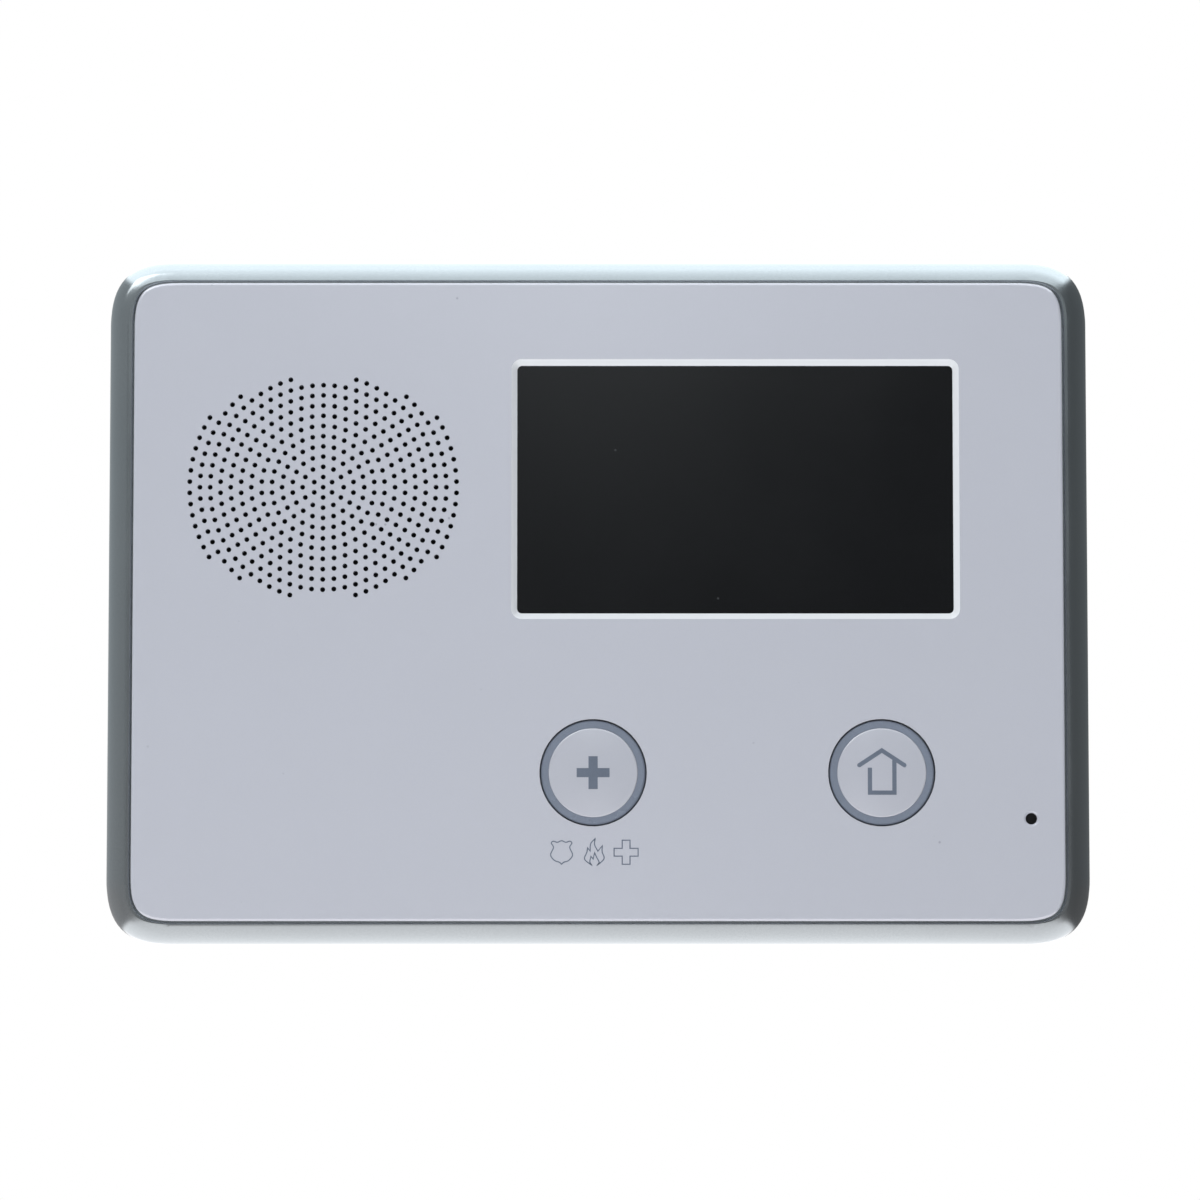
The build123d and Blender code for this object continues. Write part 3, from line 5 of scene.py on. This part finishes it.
import bmesh
import bpy
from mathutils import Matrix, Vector


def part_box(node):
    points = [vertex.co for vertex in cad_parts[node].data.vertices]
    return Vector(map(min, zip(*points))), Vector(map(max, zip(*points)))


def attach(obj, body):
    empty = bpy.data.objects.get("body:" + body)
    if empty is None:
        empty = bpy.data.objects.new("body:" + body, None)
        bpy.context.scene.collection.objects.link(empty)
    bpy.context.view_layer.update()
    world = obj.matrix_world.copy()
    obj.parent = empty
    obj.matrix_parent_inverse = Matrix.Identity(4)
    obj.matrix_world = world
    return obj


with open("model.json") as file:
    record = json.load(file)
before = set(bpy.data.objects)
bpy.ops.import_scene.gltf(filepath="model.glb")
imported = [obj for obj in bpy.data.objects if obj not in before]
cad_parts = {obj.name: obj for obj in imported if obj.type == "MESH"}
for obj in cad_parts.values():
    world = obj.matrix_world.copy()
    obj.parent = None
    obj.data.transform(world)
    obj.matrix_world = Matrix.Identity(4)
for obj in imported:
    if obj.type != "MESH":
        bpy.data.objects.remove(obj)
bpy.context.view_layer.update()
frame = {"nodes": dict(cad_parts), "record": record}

MM = 0.001
CONSOLE = "console"


# ---- places read from the frame --------------------------------------------------------------------------
def middle(node):
    low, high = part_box(node)
    return (low + high) / 2


face_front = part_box("faceplate")[0].y       # the face looks towards -Y
face_centre = Vector((middle("faceplate").x, face_front, middle("faceplate").z))
emergency_centre = middle("emergency_light_ring")


# ---- materials -------------------------------------------------------------------------------------------
def add_node(tree, kind, **settings):
    """A node with its properties set, and its inputs set where the name is an input's."""
    node = tree.nodes.new(kind)
    for name, value in settings.items():
        if name in node.inputs:
            node.inputs[name].default_value = value
        else:
            setattr(node, name, value)
    return node


def noise(tree, place, scale, detail=3.0, roughness=0.55):
    """Noise value, about 0.5 on average, with features 1/scale metres wide."""
    node = add_node(tree, "ShaderNodeTexNoise", Scale=scale, Detail=detail, Roughness=roughness)
    tree.links.new(place, node.inputs["Vector"])
    return node.outputs["Fac"]


def remap(tree, value, from_low, from_high, to_low, to_high):
    node = tree.nodes.new("ShaderNodeMapRange")
    for name, number in (
        ("From Min", from_low), ("From Max", from_high), ("To Min", to_low), ("To Max", to_high),
    ):
        node.inputs[name].default_value = number
    tree.links.new(value, node.inputs["Value"])
    return node.outputs["Result"]


def mix_colour(tree, share, first, second, blend="MIX"):
    """Mix of two colours, each a colour or a socket, by a share that is a number or a socket."""
    node = tree.nodes.new("ShaderNodeMix")
    node.data_type = "RGBA"
    node.blend_type = blend
    for socket, value in ((node.inputs[0], share), (node.inputs[6], first), (node.inputs[7], second)):
        if isinstance(value, bpy.types.NodeSocket):
            tree.links.new(value, socket)
        elif isinstance(value, (int, float)):
            socket.default_value = value
        else:
            socket.default_value = (*value, 1.0)
    return node.outputs[2]


def maths(tree, operation, *values):
    """Value of a maths node on sockets or numbers."""
    node = add_node(tree, "ShaderNodeMath", operation=operation)
    for socket, value in zip(node.inputs, values):
        if isinstance(value, bpy.types.NodeSocket):
            tree.links.new(value, socket)
        else:
            socket.default_value = value
    return node.outputs[0]


def axes_of(tree, vector):
    """The three parts of a vector socket."""
    split = tree.nodes.new("ShaderNodeSeparateXYZ")
    tree.links.new(vector, split.inputs["Vector"])
    return [split.outputs[axis] for axis in "XYZ"]


GRAIN_SHADE = 0.75                       # of the colour, in the grain's dark parts
WEAR_SHADE = 1.25                        # of the colour, on worn edges
WEAR_REACH = 0.25 * MM
WEAR_START = 0.97                        # agreement of the rounded and the true normal
WEAR_FULL = 0.80
SPECK_CELLS = 210.0                      # per metre
SPECK_INNER = 0.035                      # of a cell
SPECK_OUTER = 0.07
SPECK_PATCHES = 95.0                     # per metre
SPECK_RARITY = (0.66, 0.70)              # patches above this noise value hold specks


def scaled(colour, factor):
    return tuple(min(1.0, channel * factor) for channel in colour)


def finish_material(
    name, colour, roughness, metallic=0.0, coat=0.0, coat_roughness=0.05, coat_ior=1.5, specular=0.5,
    cloud=0.05, cloud_scale=18.0, rough_swing=0.06, rough_scale=55.0,
    grain=0.02, grain_scale=2600.0, grain_depth=0.02 * MM, ripple_depth=0.0, ripple_scale=160.0,
    specks=0.0, speck_colour=(0.2, 0.2, 0.21), wear=0.0, stretch=(1, 1, 1),
):
    """Procedural finish: clouded colour, fine grain, uneven gloss, bump, dust specks and edge wear."""
    material = bpy.data.materials.new(name)
    material.use_nodes = True
    tree = material.node_tree
    shader = tree.nodes["Principled BSDF"]
    shader.inputs["Metallic"].default_value = metallic
    shader.inputs["Specular IOR Level"].default_value = specular
    shader.inputs["Coat Weight"].default_value = coat
    shader.inputs["Coat Roughness"].default_value = coat_roughness
    shader.inputs["Coat IOR"].default_value = coat_ior
    place = tree.nodes.new("ShaderNodeTexCoord").outputs["Object"]
    mapping = add_node(tree, "ShaderNodeMapping")
    mapping.inputs["Scale"].default_value = stretch
    tree.links.new(place, mapping.inputs["Vector"])
    grain_place = mapping.outputs["Vector"]

    clouds = remap(tree, noise(tree, place, cloud_scale), 0.3, 0.7, 0.0, 1.0)
    base = mix_colour(tree, clouds, scaled(colour, 1 - cloud), scaled(colour, 1 + cloud))
    fine = noise(tree, grain_place, grain_scale, detail=2.0)
    fine_share = remap(tree, fine, 0.35, 0.65, 0.0, grain * 4)
    base = mix_colour(tree, fine_share, base, scaled(colour, GRAIN_SHADE))
    if specks:
        cells = add_node(tree, "ShaderNodeTexVoronoi", Scale=SPECK_CELLS, Randomness=1.0)
        tree.links.new(place, cells.inputs["Vector"])
        dots = remap(tree, cells.outputs["Distance"], SPECK_INNER, SPECK_OUTER, 1.0, 0.0)
        patches = noise(tree, place, SPECK_PATCHES, detail=0.0)
        rare = remap(tree, patches, *SPECK_RARITY, 0.0, specks)
        base = mix_colour(tree, maths(tree, "MULTIPLY", dots, rare), base, speck_colour)
    if wear:
        rounded = tree.nodes.new("ShaderNodeBevel")
        rounded.samples = 4
        rounded.inputs["Radius"].default_value = WEAR_REACH
        agreement = add_node(tree, "ShaderNodeVectorMath", operation="DOT_PRODUCT")
        tree.links.new(rounded.outputs["Normal"], agreement.inputs[0])
        tree.links.new(tree.nodes.new("ShaderNodeNewGeometry").outputs["Normal"], agreement.inputs[1])
        edge = remap(tree, agreement.outputs["Value"], WEAR_START, WEAR_FULL, 0.0, wear)
        base = mix_colour(tree, edge, base, scaled(colour, WEAR_SHADE))
    tree.links.new(base, shader.inputs["Base Color"])

    smudge = noise(tree, place, rough_scale, detail=5.0)
    gloss = remap(tree, smudge, 0.3, 0.7, max(0.02, roughness - rough_swing), roughness + rough_swing)
    tree.links.new(gloss, shader.inputs["Roughness"])

    bump = add_node(tree, "ShaderNodeBump", Strength=1.0, Distance=grain_depth)
    tree.links.new(fine, bump.inputs["Height"])
    if ripple_depth:
        ripple = add_node(tree, "ShaderNodeBump", Strength=1.0, Distance=ripple_depth)
        tree.links.new(noise(tree, place, ripple_scale, detail=1.0), ripple.inputs["Height"])
        tree.links.new(bump.outputs["Normal"], ripple.inputs["Normal"])
        bump = ripple
    tree.links.new(bump.outputs["Normal"], shader.inputs["Normal"])
    return material


FACE_COLOUR = (0.553, 0.554, 0.616)
FACE_PEARL = 0.18                        # share of pearl flakes in the lacquer
CAP_SHADE = 0.91                         # of the face's colour
CAP_PEARL = 0.14
finishes = {
    "face_plastic": finish_material(
        "face_plastic", FACE_COLOUR, 0.26, metallic=FACE_PEARL, coat=1.0, coat_roughness=0.06, coat_ior=1.6,
        cloud=0.01, cloud_scale=7.0, rough_swing=0.006,
        grain=0.012, grain_scale=3200.0, grain_depth=0.002 * MM,
        ripple_depth=0.004 * MM, ripple_scale=140.0, specks=0.5, speck_colour=(0.25, 0.26, 0.30),
    ),
    "cap_plastic": finish_material(
        "cap_plastic", scaled(FACE_COLOUR, CAP_SHADE), 0.24, metallic=CAP_PEARL, coat=0.8,
        coat_roughness=0.07, cloud=0.012,
        cloud_scale=60.0, rough_swing=0.006, grain=0.012, grain_scale=3200.0, grain_depth=0.002 * MM,
        ripple_depth=0.003 * MM, ripple_scale=300.0, specks=0.4, speck_colour=(0.25, 0.26, 0.30),
    ),
    "ring_plastic": finish_material(
        "ring_plastic", (0.178, 0.202, 0.258), 0.30, coat=0.3, cloud=0.06, cloud_scale=90.0,
        rough_swing=0.05, grain=0.05, grain_scale=1900.0, grain_depth=0.004 * MM,
    ),
    "icon_plastic": finish_material(
        "icon_plastic", (0.125, 0.147, 0.195), 0.35, coat=0.2, cloud=0.06, cloud_scale=240.0,
        rough_swing=0.05, grain=0.05, grain_scale=2400.0, grain_depth=0.004 * MM,
    ),
    "bezel_silver": finish_material(
        "bezel_silver", (0.40, 0.435, 0.455), 0.18, metallic=1.0, cloud=0.02, cloud_scale=22.0,
        rough_swing=0.02, grain=0.04, grain_scale=2600.0, grain_depth=0.003 * MM,
    ),
    "rear_plastic": finish_material(
        "rear_plastic", (0.60, 0.61, 0.63), 0.50, cloud=0.03, cloud_scale=14.0, rough_swing=0.08,
        grain=0.04, grain_scale=1500.0, grain_depth=0.03 * MM, specks=0.3, wear=0.10,
    ),
    "plate_plastic": finish_material(
        "plate_plastic", (0.56, 0.57, 0.585), 0.55, cloud=0.04, cloud_scale=12.0, rough_swing=0.08,
        grain=0.05, grain_scale=1300.0, grain_depth=0.04 * MM, specks=0.4, wear=0.12,
    ),
    "screen_glass": finish_material(
        "screen_glass", (0.0016, 0.0018, 0.0026), 0.12, coat=0.0, specular=0.62, cloud=0.10, cloud_scale=30.0,
        rough_swing=0.02, rough_scale=35.0, grain=0.0, grain_scale=900.0, grain_depth=0.0004 * MM,
        specks=0.5, speck_colour=(0.12, 0.125, 0.13),
    ),
    "lcd_glass": finish_material("lcd_glass", (0.02, 0.02, 0.025), 0.15),
    "white_plastic": finish_material(
        "white_plastic", (0.74, 0.74, 0.72), 0.45, grain_scale=1500.0, grain_depth=0.02 * MM, wear=0.1,
    ),
    "steel": finish_material(
        "steel", (0.62, 0.62, 0.63), 0.28, metallic=1.0, cloud=0.08, cloud_scale=160.0, rough_swing=0.1,
        rough_scale=400.0, grain=0.06, grain_scale=900.0, stretch=(1, 1, 6), grain_depth=0.006 * MM, wear=0.3,
    ),
    "magnet_steel": finish_material("magnet_steel", (0.33, 0.33, 0.34), 0.38, metallic=1.0, cloud=0.1),
    "cone_paper": finish_material("cone_paper", (0.03, 0.03, 0.032), 0.75, grain=0.1, grain_depth=0.05 * MM),
    "mesh_cloth": finish_material(
        "mesh_cloth", (0.010, 0.010, 0.011), 0.85, grain=0.2, grain_scale=1600.0, grain_depth=0.08 * MM,
    ),
    "black_plastic": finish_material("black_plastic", (0.025, 0.025, 0.027), 0.45, grain=0.05, wear=0.2),
    "black_rubber": finish_material("black_rubber", (0.02, 0.02, 0.02), 0.7, grain=0.05),
    "foam": finish_material(
        "foam", (0.05, 0.05, 0.055), 0.9, grain=0.2, grain_scale=900.0, grain_depth=0.2 * MM,
    ),
    "board": finish_material(
        "board", (0.012, 0.11, 0.045), 0.32, coat=0.4, cloud=0.15, cloud_scale=120.0, grain=0.06,
        grain_scale=600.0, grain_depth=0.01 * MM,
    ),
    "brass": finish_material("brass", (0.66, 0.46, 0.20), 0.3, metallic=1.0, cloud=0.08),
    "flex": finish_material("flex", (0.40, 0.21, 0.05), 0.35, coat=0.3, cloud=0.1, cloud_scale=90.0),
    "wrap_blue": finish_material("wrap_blue", (0.02, 0.07, 0.26), 0.28, coat=0.4, ripple_depth=0.05 * MM),
    "terminal_green": finish_material("terminal_green", (0.02, 0.22, 0.09), 0.42, grain=0.04, wear=0.15),
    "lead_red": finish_material("lead_red", (0.40, 0.02, 0.02), 0.45),
}

# painted highlight: the window's sloping faces get this near-white colour in place of the light they catch
BEVEL_HIGHLIGHT_COLOUR = (0.90, 0.90, 0.93)
BEVEL_MARGIN = 1.0 * MM                  # beyond the touch panel on each side
BEVEL_TILT = -0.95                       # flat front faces lie below this


def paint_bevel_highlight(material, colour, pearl):
    """Painted highlight on the window's sloping faces: near-white, without pearl, for the light they catch;
    pearl lacquer elsewhere.
    """
    tree = material.node_tree
    shader = tree.nodes["Principled BSDF"]
    to_face = frame["nodes"]["faceplate"].matrix_world.inverted()
    low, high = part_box("touch_panel")
    centre = to_face @ ((low + high) / 2)
    reach = (high - low) / 2
    places = tree.nodes.new("ShaderNodeTexCoord")
    across, _, upright = axes_of(tree, places.outputs["Object"])
    _, facing, _ = axes_of(tree, places.outputs["Normal"])
    near_x = maths(tree, "COMPARE", across, centre.x, reach.x + BEVEL_MARGIN)
    near_z = maths(tree, "COMPARE", upright, centre.z, reach.z + BEVEL_MARGIN)
    highlight_slopes = maths(tree, "GREATER_THAN", facing, BEVEL_TILT)
    share = maths(tree, "MULTIPLY", maths(tree, "MULTIPLY", near_x, near_z), highlight_slopes)
    lacquer = shader.inputs["Base Color"].links[0].from_socket
    tree.links.new(mix_colour(tree, share, lacquer, colour), shader.inputs["Base Color"])
    tree.links.new(maths(tree, "MULTIPLY_ADD", share, -pearl, pearl), shader.inputs["Metallic"])


# paints the highlight on the window's sloping faces
paint_bevel_highlight(finishes["face_plastic"], BEVEL_HIGHLIGHT_COLOUR, FACE_PEARL)

slot_of = {part["node"]: part["material_slot"] for part in frame["record"]["subparts"]}
for node_name, node_object in frame["nodes"].items():
    node_object.data.materials.clear()
    node_object.data.materials.append(finishes[slot_of[node_name]])


# ---- printed symbols under the emergency button ----------------------------------------------------------
INK_THICK = 0.02 * MM
LINE_HALF = 0.11 * MM
SHARPEST_MITRE = 0.45                    # keeps sharp corners from running out into spikes


def smooth_loop(points, steps=6):
    """Closed curve through the points, in mm. A third value of 1 marks a sharp corner."""
    count = len(points)
    loop = []
    for number in range(count):
        before, start, end, after = (points[(number + k) % count] for k in (-1, 0, 1, 2))
        p0, p1, p2, p3 = (Vector(p[:2]) for p in (before, start, end, after))
        leave = (p2 - p1) if start[2] else (p2 - p0) / 2
        arrive = (p2 - p1) if end[2] else (p3 - p1) / 2
        straight = start[2] and end[2]
        for step in range(1 if straight else steps):
            t = step / steps
            loop.append(
                (2 * t**3 - 3 * t**2 + 1) * p1 + (t**3 - 2 * t**2 + t) * leave
                + (3 * t**2 - 2 * t**3) * p2 + (t**3 - t**2) * arrive
            )
    return loop


def line_symbol(name, loop, centre):
    """Closed printed line: a flat band of ink along the loop, mitred at the corners."""
    mesh = bmesh.new()
    rows = []
    count = len(loop)
    for number, point in enumerate(loop):
        back = (point - loop[number - 1]).normalized()
        ahead = (loop[(number + 1) % count] - point).normalized()
        normal = Vector((-back.y - ahead.y, back.x + ahead.x)).normalized()
        reach = LINE_HALF / max(SHARPEST_MITRE, normal.dot(Vector((-ahead.y, ahead.x))))
        row = []
        for side, y in ((1, 0), (-1, 0), (-1, INK_THICK), (1, INK_THICK)):
            x = centre.x + point.x * MM + side * normal.x * reach
            z = centre.z + point.y * MM + side * normal.y * reach
            row.append(mesh.verts.new((x, face_front - y, z)))
        rows.append(row)
    for number in range(count):
        near = rows[number]
        far = rows[(number + 1) % count]
        for corner in range(4):
            following = (corner + 1) % 4
            mesh.faces.new((near[corner], far[corner], far[following], near[following]))
    bmesh.ops.recalc_face_normals(mesh, faces=mesh.faces)
    data = bpy.data.meshes.new(name)
    mesh.to_mesh(data)
    mesh.free()
    piece = bpy.data.objects.new(name, data)
    bpy.context.scene.collection.objects.link(piece)
    data.materials.append(finishes["icon_plastic"])
    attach(piece, CONSOLE)


def mirrored(half):
    """Closed outline from its left half, listed from the top middle to the bottom middle."""
    right = [(-x, z, sharp) for x, z, sharp in reversed(half[1:-1])]
    return half + right


badge = mirrored([
    (0.0, 2.3, 0), (-0.85, 1.98, 0), (-1.65, 2.2, 0), (-2.05, 1.8, 0), (-1.62, 0.95, 0), (-2.2, -0.55, 0),
    (-1.4, -1.65, 0), (-0.45, -2.0, 0), (0.0, -2.4, 1),
])
flame = [
    (-0.45, -2.62, 1), (-1.9, -1.4, 0), (-1.45, 0.0, 0), (-1.3, 0.9, 1), (-0.8, 0.2, 1), (-0.68, 1.7, 0),
    (0.2, 2.72, 1), (0.1, 1.5, 0), (0.75, 0.2, 1), (1.65, 1.3, 1), (1.6, 0.1, 0), (1.98, -1.3, 0),
    (0.6, -2.62, 1), (1.0, -2.0, 0), (0.55, -1.1, 0), (0.1, -0.1, 1), (-0.2, -1.35, 1), (-0.62, -0.85, 1),
    (-0.85, -1.9, 0),
]
ARM = 0.78
REACH = 2.4
cross = [
    (x, z, 1) for x, z in (
        (-ARM, REACH), (-ARM, ARM), (-REACH, ARM), (-REACH, -ARM), (-ARM, -ARM), (-ARM, -REACH),
        (ARM, -REACH), (ARM, -ARM), (REACH, -ARM), (REACH, ARM), (ARM, ARM), (ARM, REACH),
    )
]
SYMBOL_DROP = -15.9 * MM                 # below the button's middle
SYMBOLS = (("badge_print", badge, -6.3), ("flame_print", flame, 0.2), ("cross_print", cross, 6.6))
for symbol_name, outline, shift in SYMBOLS:
    symbol_centre = emergency_centre + Vector((shift * MM, 0, SYMBOL_DROP))
    line_symbol(symbol_name, smooth_loop(outline), symbol_centre)


# ---- stage -------------------------------------------------------------------------------------------------
FLOOR_DROP = 1.0
bpy.ops.mesh.primitive_plane_add(size=10.0, location=(0, 0, -FLOOR_DROP))
floor = bpy.context.object
floor.name = "floor"
floor.data.materials.append(finish_material("floor_paint", (0.88, 0.88, 0.88), 0.8, grain_scale=300.0))
floor.visible_glossy = False             # what shines from below is the world's lower half

# world: bright above and below, with a dark belt round the horizon that is wider at the sides.
# It is white to the camera, and dimmer to diffuse rays.
BELT_LEFT = 0.44
BELT_RIGHT = 0.172
BELT_TURN = (-0.35, 0.05)                # sideways range over which left goes over to right
BELT_RAISE = 0.05
BELT_FLARE = 0.83
BELT_EDGE = 0.17
TOP = 2.45
BOTTOM = 1.62
TOP_GAIN = 0.45                          # dimmer in front of the panel, brighter behind it
BOTTOM_GAIN = 0.22
BELT_GAIN = 0.20
HORIZON_BLUR = 0.05
STRENGTH_LIMIT = 2.20
DIFFUSE_LIMIT = 1.50                     # keeps the pale top and back from washing out
TOP_TINT = (0.94, 1.0, 1.03)
BOTTOM_TINT = (1.03, 1.0, 1.0)
world = bpy.data.worlds.new("studio")
bpy.context.scene.world = world
world.use_nodes = True
sky = world.node_tree


def sky_blend(share, first, second):
    """first + share * (second - first), on sockets or numbers."""
    step = maths(sky, "SUBTRACT", second, first)
    return maths(sky, "MULTIPLY_ADD", share, step, first)


sideways, backwards, upwards = axes_of(sky, sky.nodes.new("ShaderNodeTexCoord").outputs["Generated"])
belt = remap(sky, sideways, *BELT_TURN, BELT_LEFT, BELT_RIGHT)
above = remap(sky, upwards, -HORIZON_BLUR, HORIZON_BLUR, 0.0, 1.0)
height = maths(sky, "ABSOLUTE", maths(sky, "SUBTRACT", upwards, BELT_RAISE))
flare = maths(sky, "MULTIPLY", maths(sky, "ABSOLUTE", sideways), BELT_FLARE)
clear_of_belt = maths(sky, "SUBTRACT", height, flare)
lift = sky.nodes.new("ShaderNodeMapRange")
lift.interpolation_type = "SMOOTHSTEP"
lift.inputs["From Max"].default_value = BELT_EDGE
sky.links.new(clear_of_belt, lift.inputs["Value"])
dome_gain = maths(sky, "MULTIPLY_ADD", backwards, sky_blend(above, BOTTOM_GAIN, TOP_GAIN), 1.0)
belt_gain = maths(sky, "MULTIPLY_ADD", backwards, BELT_GAIN, 1.0)
dome = maths(sky, "MULTIPLY", sky_blend(above, BOTTOM, TOP), dome_gain)
mixed = sky_blend(lift.outputs["Result"], maths(sky, "MULTIPLY", belt, belt_gain), dome)
rays = sky.nodes.new("ShaderNodeLightPath")
limit = sky_blend(rays.outputs["Is Diffuse Ray"], STRENGTH_LIMIT, DIFFUSE_LIMIT)
strength = maths(sky, "MINIMUM", mixed, limit)
seen = rays.outputs["Is Camera Ray"]
sky.links.new(sky_blend(seen, strength, 1.0), sky.nodes["Background"].inputs["Strength"])
tint = mix_colour(sky, above, BOTTOM_TINT, TOP_TINT)
sky.links.new(mix_colour(sky, seen, tint, (1.0, 1.0, 1.0)), sky.nodes["Background"].inputs["Color"])


def soft_light(name, place, size, energy, mirrored_in_gloss):
    """Square area light aimed at the middle of the face."""
    data = bpy.data.lights.new(name, "AREA")
    data.size = size
    data.energy = energy
    light = bpy.data.objects.new(name, data)
    light.location = place
    light.rotation_euler = (face_centre - Vector(place)).to_track_quat("-Z", "Y").to_euler()
    light.visible_camera = False
    light.visible_glossy = mirrored_in_gloss
    bpy.context.scene.collection.objects.link(light)


soft_light("key_light", (-0.9, -1.3, 1.2), 0.9, 5.0, True)
soft_light("bounce_light", (-0.4, -1.2, -0.45), 0.8, 2.5, False)


# ---- camera ------------------------------------------------------------------------------------------------
LENS = 134.5
SENSOR = 36.0
CAMERA_DISTANCE = 0.900
CAMERA_RISE = math.radians(-4.2)
AIM_OFFSET = Vector((0.38 * MM, 0, 0.06 * MM))
camera_data = bpy.data.cameras.new("camera")
camera_data.lens = LENS
camera_data.sensor_width = SENSOR
camera = bpy.data.objects.new("camera", camera_data)
bpy.context.scene.collection.objects.link(camera)
toward = Vector((0, -math.cos(CAMERA_RISE), math.sin(CAMERA_RISE)))
camera.location = face_centre + toward * CAMERA_DISTANCE
aim = face_centre + AIM_OFFSET
camera.rotation_euler = (aim - camera.location).to_track_quat("-Z", "Y").to_euler()
bpy.context.scene.camera = camera
bpy.context.scene.view_settings.view_transform = "Standard"
